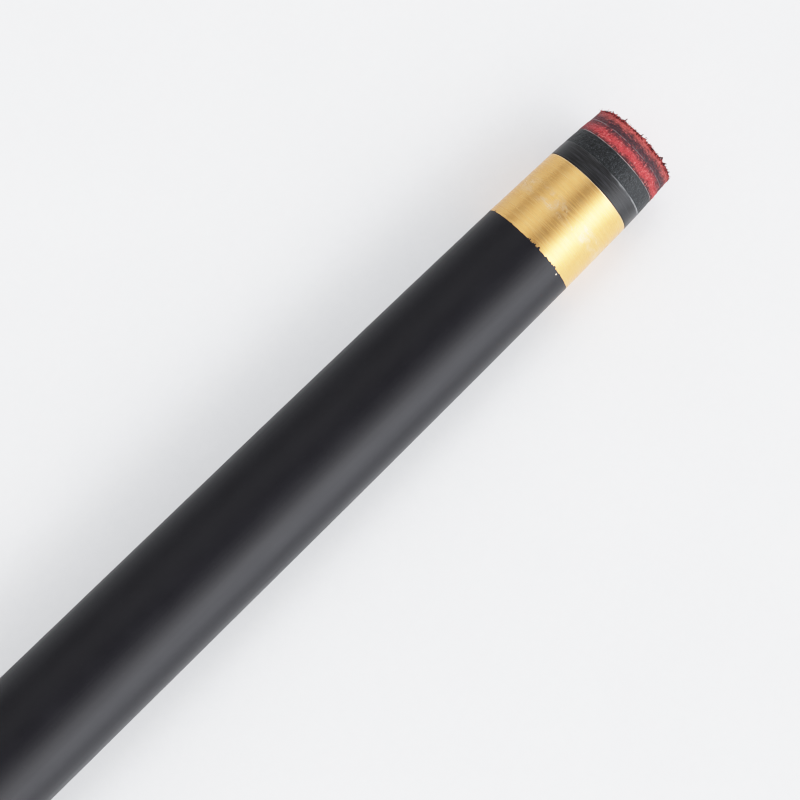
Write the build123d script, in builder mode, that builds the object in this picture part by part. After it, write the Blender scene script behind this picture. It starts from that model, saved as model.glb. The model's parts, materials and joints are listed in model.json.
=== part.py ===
"""Two-piece billiard cue, laid on its side along +X.

A laminated leather tip on a fibre pad, a short capped brass ferrule, a hollow graphite-composite
shaft with a foam core, a screwed centre joint, and a lacquered wooden butt with a wound grip, a
weight bolt, a brass extension socket and a rubber bumper.

Frame: +X runs along the cue's axis towards the tip, +Z is up. The origin is on the axis, at the
mouth of the extension socket in the butt end. Millimetres. Almost every piece is turned, so each
one is a half profile in the XZ plane revolved about the X axis.
"""

import os

from build123d import *

os.makedirs("parts", exist_ok=True)

# ---------------------------------------------------------------- stations along the axis
x_foot = -3.0  # rubber face that the cue stands on
x_socket = 0.0  # mouth of the extension socket
x_cap_rear = 4.0
x_cap_ring = 44.0
x_sleeve_rear = 48.0
x_rear_ring = 193.0
x_grip_rear = 196.0
x_grip_front = 496.0
x_forearm_rear = 499.0
x_butt_ring = 697.0
x_butt_collar = 700.0
x_joint = 712.0  # flat faces that meet when the cue is screwed together
x_shaft_ring = 724.0
x_tube_rear = 727.0
x_ferrule_rear = 1432.5
ferrule_length = 7.86
x_tip_base = x_ferrule_rear + ferrule_length

# ---------------------------------------------------------------- outside diameters
butt_end_d = 29.0
taper_end_x = 1372.5  # the straight taper stops here, 60 mm behind the ferrule
taper_end_d = 11.25
# the last 60 mm are sanded down harder: distance behind the ferrule, diameter
nose_taper = ((45.0, 11.05), (30.0, 10.85), (20.0, 10.66), (10.0, 10.45), (0.0, 10.16))
ferrule_front_d = 9.80


def outer_d(x):
    """Outside diameter on the straight taper of the butt and shaft."""
    return butt_end_d - (butt_end_d - taper_end_d) * (x - x_foot) / (taper_end_x - x_foot)


# ---------------------------------------------------------------- tip
pad_thick = 1.77
black_leather_thick = 1.74
red_leather_thick = 1.37
crown_side = 1.25
crown_rise = 0.60  # how far the domed playing face stands past its rim
tip_base_d = 9.80
tip_rim_d = 8.86
# the side is slightly barrelled: diameter at each glue line, from the base to the rim
tip_ds = (tip_base_d, 9.64, 9.39, 9.13, tip_rim_d)
crown_rim_round = 0.30
x_black_leather = x_tip_base + pad_thick
x_red_leather = x_black_leather + black_leather_thick
x_crown = x_red_leather + red_leather_thick
x_rim = x_crown + crown_side
x_apex = x_rim + crown_rise


tip_r = {x: d / 2 for x, d in zip((x_tip_base, x_black_leather, x_red_leather, x_crown, x_rim), tip_ds)}


# ---------------------------------------------------------------- shaft
tenon_r = 3.20
tenon_length = 6.30
nose_bore_r = 3.60
x_nose_bore = 1392.0
joint_plug_r = 7.20
x_joint_plug_front = 772.0
foam_gap = 0.25
insert_r = 6.00
insert_length = 45.0
insert_bore_r = 4.76
insert_bore_depth = 30.0

# ---------------------------------------------------------------- joint pin, 3/8 inch with ten threads to the inch
pin_r = 4.70
pin_reach = 27.4  # past the joint face
pin_anchor = 32.0  # inside the forearm
pin_nose = 1.2

# ---------------------------------------------------------------- butt
collar_tenon_r = 7.50
grip_thick = 0.90
front_tenon_r = 8.00
front_tenon_length = 25.0
rear_tenon_r = 9.00
rear_tenon_length = 25.0
stud_r = 3.50
stud_half = 38.0
cap_tenon_r = 9.50
cap_tenon_length = 16.0
bumper_r = 14.0
bumper_bore_r = 6.60
spigot_r = 10.5
spigot_length = 5.0
socket_r = 6.00
socket_length = 34.0
socket_thread_r = 4.00
socket_thread_depth = 24.0
weight_r = 6.00
x_weight = 60.0
weight_length = 55.0
hex_key = 6.0
hex_depth = 6.0
weight_bore_end = 130.0

# ================================================================ tip
with BuildPart() as tip_pad:
    with BuildSketch(Plane.XZ):
        with BuildLine():
            Polyline(
                (x_tip_base, 0),
                (x_tip_base, tip_r[x_tip_base]),
                (x_black_leather, tip_r[x_black_leather]),
                (x_black_leather, 0),
                close=True,
            )
        make_face()
    revolve(axis=Axis.X)

with BuildPart() as tip_black_leather:
    with BuildSketch(Plane.XZ):
        with BuildLine():
            Polyline(
                (x_black_leather, 0),
                (x_black_leather, tip_r[x_black_leather]),
                (x_red_leather, tip_r[x_red_leather]),
                (x_red_leather, 0),
                close=True,
            )
        make_face()
    revolve(axis=Axis.X)

with BuildPart() as tip_red_leather:
    with BuildSketch(Plane.XZ):
        with BuildLine():
            Polyline(
                (x_red_leather, 0),
                (x_red_leather, tip_r[x_red_leather]),
                (x_crown, tip_r[x_crown]),
                (x_crown, 0),
                close=True,
            )
        make_face()
    revolve(axis=Axis.X)

# the playing face is a shallow dome with a rubbed-down rim
dome_r = ((tip_rim_d / 2) ** 2 + crown_rise**2) / (2 * crown_rise)
with BuildPart() as tip_crown:
    with BuildSketch(Plane.XZ):
        with BuildLine():
            Polyline((x_rim, tip_rim_d / 2), (x_crown, tip_r[x_crown]), (x_crown, 0), (x_apex, 0))
            RadiusArc((x_apex, 0), (x_rim, tip_rim_d / 2), -dome_r)
        make_face()
    revolve(axis=Axis.X)
    fillet(tip_crown.edges().filter_by(GeomType.CIRCLE).sort_by(SortBy.RADIUS)[0], crown_rim_round)

# ================================================================ ferrule and its tenon
with BuildPart() as ferrule:
    with BuildSketch(Plane.XZ):
        with BuildLine():
            Polyline(
                (x_ferrule_rear, tenon_r),
                (x_ferrule_rear, nose_taper[-1][1] / 2),
                (x_tip_base, ferrule_front_d / 2),
                (x_tip_base, 0),
                (x_ferrule_rear + tenon_length, 0),
                (x_ferrule_rear + tenon_length, tenon_r),
                close=True,
            )
        make_face()
    revolve(axis=Axis.X)

with BuildPart() as tenon_plug:
    with BuildSketch(Plane.XZ):
        with BuildLine():
            Polyline(
                (x_nose_bore, 0),
                (x_nose_bore, nose_bore_r),
                (x_ferrule_rear, nose_bore_r),
                (x_ferrule_rear, tenon_r),
                (x_ferrule_rear + tenon_length, tenon_r),
                (x_ferrule_rear + tenon_length, 0),
                close=True,
            )
        make_face()
    revolve(axis=Axis.X)

# ================================================================ shaft
with BuildPart() as shaft_tube:
    with BuildSketch(Plane.XZ):
        with BuildLine():
            Polyline(
                (x_tube_rear, joint_plug_r),
                (x_tube_rear, outer_d(x_tube_rear) / 2),
                (taper_end_x, taper_end_d / 2),
                *[(x_ferrule_rear - back, d / 2) for back, d in nose_taper],
                (x_ferrule_rear, nose_bore_r),
                (x_nose_bore, nose_bore_r),
                (x_joint_plug_front, joint_plug_r),
                close=True,
            )
        make_face()
    revolve(axis=Axis.X)

with BuildPart() as foam_core:
    with BuildSketch(Plane.XZ):
        with BuildLine():
            Polyline(
                (x_joint_plug_front + 1, 0),
                (x_joint_plug_front + 1, joint_plug_r - foam_gap),
                (x_nose_bore - 1, nose_bore_r - foam_gap),
                (x_nose_bore - 1, 0),
                close=True,
            )
        make_face()
    revolve(axis=Axis.X)

with BuildPart() as joint_plug:
    with BuildSketch(Plane.XZ):
        with BuildLine():
            Polyline(
                (x_joint, insert_r),
                (x_joint, joint_plug_r),
                (x_joint_plug_front, joint_plug_r),
                (x_joint_plug_front, 0),
                (x_joint + insert_length, 0),
                (x_joint + insert_length, insert_r),
                close=True,
            )
        make_face()
    revolve(axis=Axis.X)

with BuildPart() as shaft_insert:
    with BuildSketch(Plane.XZ):
        with BuildLine():
            Polyline(
                (x_joint, insert_bore_r),
                (x_joint, insert_r),
                (x_joint + insert_length, insert_r),
                (x_joint + insert_length, 0),
                (x_joint + insert_bore_depth + insert_bore_r / 2, 0),
                (x_joint + insert_bore_depth, insert_bore_r),
                close=True,
            )
        make_face()
    revolve(axis=Axis.X)

with BuildPart() as shaft_collar:
    with BuildSketch(Plane.XZ):
        with BuildLine():
            Polyline(
                (x_joint, joint_plug_r),
                (x_joint, outer_d(x_joint) / 2 - 0.15),
                (x_joint + 0.15, outer_d(x_joint + 0.15) / 2),
                (x_shaft_ring, outer_d(x_shaft_ring) / 2),
                (x_shaft_ring, joint_plug_r),
                close=True,
            )
        make_face()
    revolve(axis=Axis.X)

with BuildPart() as shaft_ring:
    with BuildSketch(Plane.XZ):
        with BuildLine():
            Polyline(
                (x_shaft_ring, joint_plug_r),
                (x_shaft_ring, outer_d(x_shaft_ring) / 2),
                (x_tube_rear, outer_d(x_tube_rear) / 2),
                (x_tube_rear, joint_plug_r),
                close=True,
            )
        make_face()
    revolve(axis=Axis.X)

# ================================================================ joint
with BuildPart() as joint_pin:
    with BuildSketch(Plane.XZ):
        with BuildLine():
            Polyline(
                (x_joint - pin_anchor, 0),
                (x_joint - pin_anchor, pin_r),
                (x_joint + pin_reach - pin_nose, pin_r),
                (x_joint + pin_reach, pin_r - pin_nose),
                (x_joint + pin_reach, 0),
                close=True,
            )
        make_face()
    revolve(axis=Axis.X)

with BuildPart() as butt_collar:
    with BuildSketch(Plane.XZ):
        with BuildLine():
            Polyline(
                (x_butt_collar, collar_tenon_r),
                (x_butt_collar, outer_d(x_butt_collar) / 2),
                (x_joint - 0.15, outer_d(x_joint - 0.15) / 2),
                (x_joint, outer_d(x_joint) / 2 - 0.15),
                (x_joint, collar_tenon_r),
                close=True,
            )
        make_face()
    revolve(axis=Axis.X)

with BuildPart() as butt_ring:
    with BuildSketch(Plane.XZ):
        with BuildLine():
            Polyline(
                (x_butt_ring, collar_tenon_r),
                (x_butt_ring, outer_d(x_butt_ring) / 2),
                (x_butt_collar, outer_d(x_butt_collar) / 2),
                (x_butt_collar, collar_tenon_r),
                close=True,
            )
        make_face()
    revolve(axis=Axis.X)

# ================================================================ butt
with BuildPart() as forearm:
    with BuildSketch(Plane.XZ):
        with BuildLine():
            Polyline(
                (x_forearm_rear, front_tenon_r),
                (x_forearm_rear, outer_d(x_forearm_rear) / 2),
                (x_butt_ring, outer_d(x_butt_ring) / 2),
                (x_butt_ring, collar_tenon_r),
                (x_joint, collar_tenon_r),
                (x_joint, pin_r),
                (x_joint - pin_anchor, pin_r),
                (x_joint - pin_anchor, 0),
                (x_forearm_rear + front_tenon_length + stud_half, 0),
                (x_forearm_rear + front_tenon_length + stud_half, stud_r),
                (x_forearm_rear + front_tenon_length, stud_r),
                (x_forearm_rear + front_tenon_length, front_tenon_r),
                close=True,
            )
        make_face()
    revolve(axis=Axis.X)

with BuildPart() as forearm_stud:
    with BuildSketch(Plane.XZ):
        with BuildLine():
            Polyline(
                (x_forearm_rear + front_tenon_length - stud_half, 0),
                (x_forearm_rear + front_tenon_length - stud_half, stud_r),
                (x_forearm_rear + front_tenon_length + stud_half, stud_r),
                (x_forearm_rear + front_tenon_length + stud_half, 0),
                close=True,
            )
        make_face()
    revolve(axis=Axis.X)

with BuildPart() as grip_ring_front:
    with BuildSketch(Plane.XZ):
        with BuildLine():
            Polyline(
                (x_grip_front, front_tenon_r),
                (x_grip_front, outer_d(x_grip_front) / 2),
                (x_forearm_rear, outer_d(x_forearm_rear) / 2),
                (x_forearm_rear, front_tenon_r),
                close=True,
            )
        make_face()
    revolve(axis=Axis.X)

with BuildPart() as handle:
    with BuildSketch(Plane.XZ):
        with BuildLine():
            Polyline(
                (x_rear_ring - rear_tenon_length, stud_r),
                (x_rear_ring - rear_tenon_length, rear_tenon_r),
                (x_grip_rear, rear_tenon_r),
                (x_grip_rear, outer_d(x_grip_rear) / 2 - grip_thick),
                (x_grip_front, outer_d(x_grip_front) / 2 - grip_thick),
                (x_grip_front, front_tenon_r),
                (x_forearm_rear + front_tenon_length, front_tenon_r),
                (x_forearm_rear + front_tenon_length, stud_r),
                (x_forearm_rear + front_tenon_length - stud_half, stud_r),
                (x_forearm_rear + front_tenon_length - stud_half, 0),
                (x_rear_ring - rear_tenon_length + stud_half, 0),
                (x_rear_ring - rear_tenon_length + stud_half, stud_r),
                close=True,
            )
        make_face()
    revolve(axis=Axis.X)

with BuildPart() as grip_wrap:
    with BuildSketch(Plane.XZ):
        with BuildLine():
            Polyline(
                (x_grip_rear, outer_d(x_grip_rear) / 2 - grip_thick),
                (x_grip_rear, outer_d(x_grip_rear) / 2),
                (x_grip_front, outer_d(x_grip_front) / 2),
                (x_grip_front, outer_d(x_grip_front) / 2 - grip_thick),
                close=True,
            )
        make_face()
    revolve(axis=Axis.X)

with BuildPart() as grip_ring_rear:
    with BuildSketch(Plane.XZ):
        with BuildLine():
            Polyline(
                (x_rear_ring, rear_tenon_r),
                (x_rear_ring, outer_d(x_rear_ring) / 2),
                (x_grip_rear, outer_d(x_grip_rear) / 2),
                (x_grip_rear, rear_tenon_r),
                close=True,
            )
        make_face()
    revolve(axis=Axis.X)

with BuildPart() as sleeve_stud:
    with BuildSketch(Plane.XZ):
        with BuildLine():
            Polyline(
                (x_rear_ring - rear_tenon_length - stud_half + 6, 0),
                (x_rear_ring - rear_tenon_length - stud_half + 6, stud_r),
                (x_rear_ring - rear_tenon_length + stud_half, stud_r),
                (x_rear_ring - rear_tenon_length + stud_half, 0),
                close=True,
            )
        make_face()
    revolve(axis=Axis.X)

# bored from the rear for the weight bolt, with a tenon for the butt cap
with BuildPart() as butt_sleeve:
    with BuildSketch(Plane.XZ):
        with BuildLine():
            Polyline(
                (x_sleeve_rear - cap_tenon_length, weight_r),
                (x_sleeve_rear - cap_tenon_length, cap_tenon_r),
                (x_sleeve_rear, cap_tenon_r),
                (x_sleeve_rear, outer_d(x_sleeve_rear) / 2),
                (x_rear_ring, outer_d(x_rear_ring) / 2),
                (x_rear_ring, rear_tenon_r),
                (x_rear_ring - rear_tenon_length, rear_tenon_r),
                (x_rear_ring - rear_tenon_length, stud_r),
                (weight_bore_end + 2, stud_r),
                (weight_bore_end + 2, 0),
                (weight_bore_end, 0),
                (weight_bore_end, weight_r),
                close=True,
            )
        make_face()
    revolve(axis=Axis.X)

with BuildPart() as weight_bolt:
    with BuildSketch(Plane.XZ):
        with BuildLine():
            Polyline(
                (x_weight, 0),
                (x_weight, weight_r - 0.8),
                (x_weight + 0.8, weight_r),
                (x_weight + weight_length - 0.8, weight_r),
                (x_weight + weight_length, weight_r - 0.8),
                (x_weight + weight_length, 0),
                close=True,
            )
        make_face()
    revolve(axis=Axis.X)
    with BuildSketch(Plane.YZ.offset(x_weight)):
        RegularPolygon(radius=hex_key / 2, side_count=6, major_radius=False)
    extrude(amount=hex_depth, mode=Mode.SUBTRACT)

with BuildPart() as cap_ring:
    with BuildSketch(Plane.XZ):
        with BuildLine():
            Polyline(
                (x_cap_ring, cap_tenon_r),
                (x_cap_ring, outer_d(x_cap_ring) / 2),
                (x_sleeve_rear, outer_d(x_sleeve_rear) / 2),
                (x_sleeve_rear, cap_tenon_r),
                close=True,
            )
        make_face()
    revolve(axis=Axis.X)

with BuildPart() as butt_cap:
    with BuildSketch(Plane.XZ):
        with BuildLine():
            Polyline(
                (x_cap_rear, spigot_r),
                (x_cap_rear, outer_d(x_cap_rear) / 2 - 0.3),
                (x_cap_rear + 0.3, outer_d(x_cap_rear + 0.3) / 2),
                (x_cap_ring, outer_d(x_cap_ring) / 2),
                (x_cap_ring, cap_tenon_r),
                (x_sleeve_rear - cap_tenon_length, cap_tenon_r),
                (x_sleeve_rear - cap_tenon_length, socket_r),
                (x_cap_rear + spigot_length, socket_r),
                (x_cap_rear + spigot_length, spigot_r),
                close=True,
            )
        make_face()
    revolve(axis=Axis.X)

# brass bush with a female thread for an extension, open to the rear through the bumper
with BuildPart() as extension_socket:
    with BuildSketch(Plane.XZ):
        with BuildLine():
            Polyline(
                (x_socket, socket_thread_r),
                (x_socket, socket_r),
                (x_socket + socket_length - 2.0, socket_r),
                (x_socket + socket_length - 2.0, 0),
                (x_socket + socket_thread_depth, 0),
                (x_socket + socket_thread_depth, socket_thread_r),
                close=True,
            )
        make_face()
    revolve(axis=Axis.X)

with BuildPart() as bumper:
    with BuildSketch(Plane.XZ):
        with BuildLine():
            Polyline(
                (x_foot, bumper_bore_r),
                (x_foot, bumper_r),
                (x_cap_rear, bumper_r),
                (x_cap_rear, spigot_r),
                (x_cap_rear + spigot_length, spigot_r),
                (x_cap_rear + spigot_length, bumper_bore_r),
                close=True,
            )
        make_face()
    revolve(axis=Axis.X)
    fillet(bumper.edges().filter_by(GeomType.CIRCLE).group_by(Axis.X)[0].sort_by(SortBy.RADIUS)[-1], 2.0)
    fillet(bumper.edges().filter_by(GeomType.CIRCLE).group_by(Axis.X)[0].sort_by(SortBy.RADIUS)[0], 0.8)

# ================================================================ one STEP per piece
pieces = {
    "tip_pad": tip_pad,
    "tip_black_leather": tip_black_leather,
    "tip_red_leather": tip_red_leather,
    "tip_crown": tip_crown,
    "ferrule": ferrule,
    "tenon_plug": tenon_plug,
    "shaft_tube": shaft_tube,
    "foam_core": foam_core,
    "joint_plug": joint_plug,
    "shaft_insert": shaft_insert,
    "shaft_collar": shaft_collar,
    "shaft_ring": shaft_ring,
    "joint_pin": joint_pin,
    "butt_collar": butt_collar,
    "butt_ring": butt_ring,
    "forearm": forearm,
    "forearm_stud": forearm_stud,
    "grip_ring_front": grip_ring_front,
    "handle": handle,
    "grip_wrap": grip_wrap,
    "grip_ring_rear": grip_ring_rear,
    "sleeve_stud": sleeve_stud,
    "butt_sleeve": butt_sleeve,
    "weight_bolt": weight_bolt,
    "cap_ring": cap_ring,
    "butt_cap": butt_cap,
    "extension_socket": extension_socket,
    "bumper": bumper,
}
for name, piece in pieces.items():
    piece.part.label = name
    export_step(piece.part, f"parts/{name}.step")
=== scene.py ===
import json
import math

import bpy
import numpy as np
from mathutils import Matrix, Vector

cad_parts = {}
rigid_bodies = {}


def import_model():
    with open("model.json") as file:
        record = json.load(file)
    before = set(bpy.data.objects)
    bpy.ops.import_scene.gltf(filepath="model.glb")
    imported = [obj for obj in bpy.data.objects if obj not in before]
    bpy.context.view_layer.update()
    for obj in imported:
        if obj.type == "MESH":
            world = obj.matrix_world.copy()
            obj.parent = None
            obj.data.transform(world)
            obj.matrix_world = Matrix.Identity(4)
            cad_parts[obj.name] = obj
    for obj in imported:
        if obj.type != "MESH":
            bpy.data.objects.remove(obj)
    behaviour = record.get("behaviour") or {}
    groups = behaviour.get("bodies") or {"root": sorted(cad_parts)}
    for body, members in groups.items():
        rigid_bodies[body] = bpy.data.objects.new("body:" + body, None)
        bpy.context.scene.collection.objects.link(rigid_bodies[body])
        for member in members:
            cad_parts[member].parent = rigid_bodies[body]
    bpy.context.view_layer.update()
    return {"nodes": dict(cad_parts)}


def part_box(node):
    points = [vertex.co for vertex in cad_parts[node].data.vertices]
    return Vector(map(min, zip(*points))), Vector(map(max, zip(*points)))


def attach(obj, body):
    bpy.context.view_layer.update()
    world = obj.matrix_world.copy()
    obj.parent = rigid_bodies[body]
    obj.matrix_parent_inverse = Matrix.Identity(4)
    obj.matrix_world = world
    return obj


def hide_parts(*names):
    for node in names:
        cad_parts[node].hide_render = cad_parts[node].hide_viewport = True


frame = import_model()
MM = 0.001

# ---------------------------------------------------------------- stations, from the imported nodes
def lo_x(n):
    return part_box(n)[0][0] / MM


def hi_x(n):
    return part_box(n)[1][0] / MM


def max_r(n):
    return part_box(n)[1][1] / MM


X_FOOT = lo_x("bumper")
X_CAP = lo_x("butt_cap")
X_CAP_RING = lo_x("cap_ring")
X_SLEEVE = hi_x("cap_ring")
X_REAR_RING = lo_x("grip_ring_rear")
X_GRIP0, X_GRIP1 = lo_x("grip_wrap"), hi_x("grip_wrap")
X_FOREARM = hi_x("grip_ring_front")
X_BUTT_RING = lo_x("butt_ring")
X_BUTT_COLLAR = lo_x("butt_collar")
X_JOINT = hi_x("butt_collar")
X_SHAFT_RING = lo_x("shaft_ring")
X_TUBE = hi_x("shaft_ring")
X_FERRULE, X_PAD = lo_x("ferrule"), lo_x("tip_pad")
X_BLACK, X_RED, X_CROWN, X_APEX = lo_x("tip_black_leather"), lo_x("tip_red_leather"), lo_x("tip_crown"), hi_x("tip_crown")
X_RIM = X_APEX - 0.60
TAPER_END = 1372.5
NOSE = [(60.0, 11.25), (45.0, 11.05), (30.0, 10.85), (20.0, 10.66), (10.0, 10.45), (0.0, 10.16)]


def od(x):
    """Outside diameter on the straight taper of the butt and shaft, in mm."""
    return 29.0 - (29.0 - 11.25) * (x - X_FOOT) / (TAPER_END - X_FOOT)


def shaft_r(x):
    if x <= TAPER_END:
        return od(x) / 2
    back = X_FERRULE - x
    xs = [p[0] for p in NOSE][::-1]
    ys = [p[1] / 2 for p in NOSE][::-1]
    return float(np.interp(back, xs, ys))


def tip_r(x):
    return float(np.interp(x, (X_PAD, X_BLACK, X_RED, X_CROWN, X_RIM), (9.80, 9.64, 9.39, 9.13, 8.86))) / 2


# ---------------------------------------------------------------- noise for displaced meshes
_rng = np.random.RandomState(7)
_perm = np.tile(_rng.permutation(256), 3)
_grad = _rng.normal(size=(256, 3))
_grad /= np.linalg.norm(_grad, axis=1)[:, None]


def perlin(p):
    """Gradient noise at points p (n x 3), about -0.7 to 0.7."""
    p = np.asarray(p, float)
    i = np.floor(p).astype(int)
    f = p - i
    i &= 255
    u = f * f * f * (f * (f * 6 - 15) + 10)
    out = 0
    for dx in (0, 1):
        for dy in (0, 1):
            for dz in (0, 1):
                h = _perm[_perm[_perm[i[:, 0] + dx] + i[:, 1] + dy] + i[:, 2] + dz]
                g = _grad[h]
                w = (
                    (u[:, 0] if dx else 1 - u[:, 0])
                    * (u[:, 1] if dy else 1 - u[:, 1])
                    * (u[:, 2] if dz else 1 - u[:, 2])
                )
                out = out + w * (g * (f - np.array([dx, dy, dz]))).sum(1)
    return out


def fbm(p, octaves=3, gain=0.5):
    p = np.asarray(p, float)
    a, out = 1.0, 0
    for k in range(octaves):
        out = out + a * perlin(p * 2.0**k + 17.3 * k)
        a *= gain
    return out


# ---------------------------------------------------------------- mesh helpers
def new_object(name, verts_mm, faces, mats, body, node=None, smooth=True, sharp=35, face_mat=None):
    me = bpy.data.meshes.new(name)
    me.from_pydata((np.asarray(verts_mm, float) * MM).tolist(), [], faces)
    me.update()
    for m in mats if isinstance(mats, (list, tuple)) else [mats]:
        me.materials.append(m)
    if face_mat is not None:
        me.polygons.foreach_set("material_index", np.asarray(face_mat, dtype=np.int32))
    if smooth:
        me.polygons.foreach_set("use_smooth", [True] * len(me.polygons))
        if sharp:
            me.set_sharp_from_angle(angle=math.radians(sharp))
    ob = bpy.data.objects.new(name, me)
    bpy.context.scene.collection.objects.link(ob)
    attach(ob, body)
    if node:
        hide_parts(node)
    return ob


def densify(profile, step):
    """Straight runs of an (x, r) profile cut to at most step long."""
    out = [profile[0]]
    for a, b in zip(profile[:-1], profile[1:]):
        n = max(1, int(math.ceil(math.hypot(b[0] - a[0], b[1] - a[1]) / step)))
        for k in range(1, n + 1):
            out.append((a[0] + (b[0] - a[0]) * k / n, a[1] + (b[1] - a[1]) * k / n))
    return out


def revolve(profile, segs, closed=True, shape=None):
    """Vertices and faces of a profile turned about X. A point with r = 0 is a pole.
    closed joins the last point to the first. shape(x, r, angle) may move the points: arrays in, arrays (x, r) out."""
    ang = np.arange(segs) * 2 * math.pi / segs
    verts, rings = [], []
    n = 0
    for x, r in profile:
        if r < 1e-6:
            verts.append(np.array([[x, 0, 0]]))
            rings.append((n, 1))
            n += 1
        else:
            xs, rs = np.full(segs, float(x)), np.full(segs, float(r))
            if shape is not None:
                xs, rs = shape(xs, rs, ang)
            verts.append(np.stack([xs, rs * np.cos(ang), rs * np.sin(ang)], 1))
            rings.append((n, segs))
            n += segs
    faces = []
    pairs = list(zip(rings[:-1], rings[1:]))
    if closed:
        pairs.append((rings[-1], rings[0]))
    idx = np.arange(segs)
    nxt = (idx + 1) % segs
    for (a, na), (b, nb) in pairs:
        if na == 1 and nb == 1:
            continue
        if na == 1:
            faces += np.stack([np.full(segs, a), b + idx, b + nxt], 1).tolist()
        elif nb == 1:
            faces += np.stack([a + idx, np.full(segs, b), a + nxt], 1).tolist()
        else:
            faces += np.stack([a + idx, b + idx, b + nxt, a + nxt], 1).tolist()
    return np.concatenate(verts), faces


def outward(verts, faces):
    """Faces turned so that the closed mesh has a positive volume."""
    v = np.asarray(verts)
    vol = 0.0
    tri = np.array([[f[0], f[k], f[k + 1]] for f in faces for k in range(1, len(f) - 1)])
    a, b, c = v[tri[:, 0]], v[tri[:, 1]], v[tri[:, 2]]
    vol = (a * np.cross(b, c)).sum()
    return faces if vol > 0 else [f[::-1] for f in faces]


def lathe(name, profile, segs, mats, body, node=None, sharp=35, shape=None, step=None, closed=True):
    if step:
        profile = densify(profile + ([profile[0]] if closed else []), step)
        if closed:
            profile = profile[:-1]
    v, f = revolve(profile, segs, closed=closed, shape=shape)
    return new_object(name, v, outward(v, f), mats, body, node, sharp=sharp)


def arc(cx, cr, rad, a0, a1, n):
    """Points on a circle of the profile plane, angles in degrees from +x towards +r."""
    return [
        (cx + rad * math.cos(math.radians(a0 + (a1 - a0) * k / n)), cr + rad * math.sin(math.radians(a0 + (a1 - a0) * k / n)))
        for k in range(n + 1)
    ]


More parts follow.
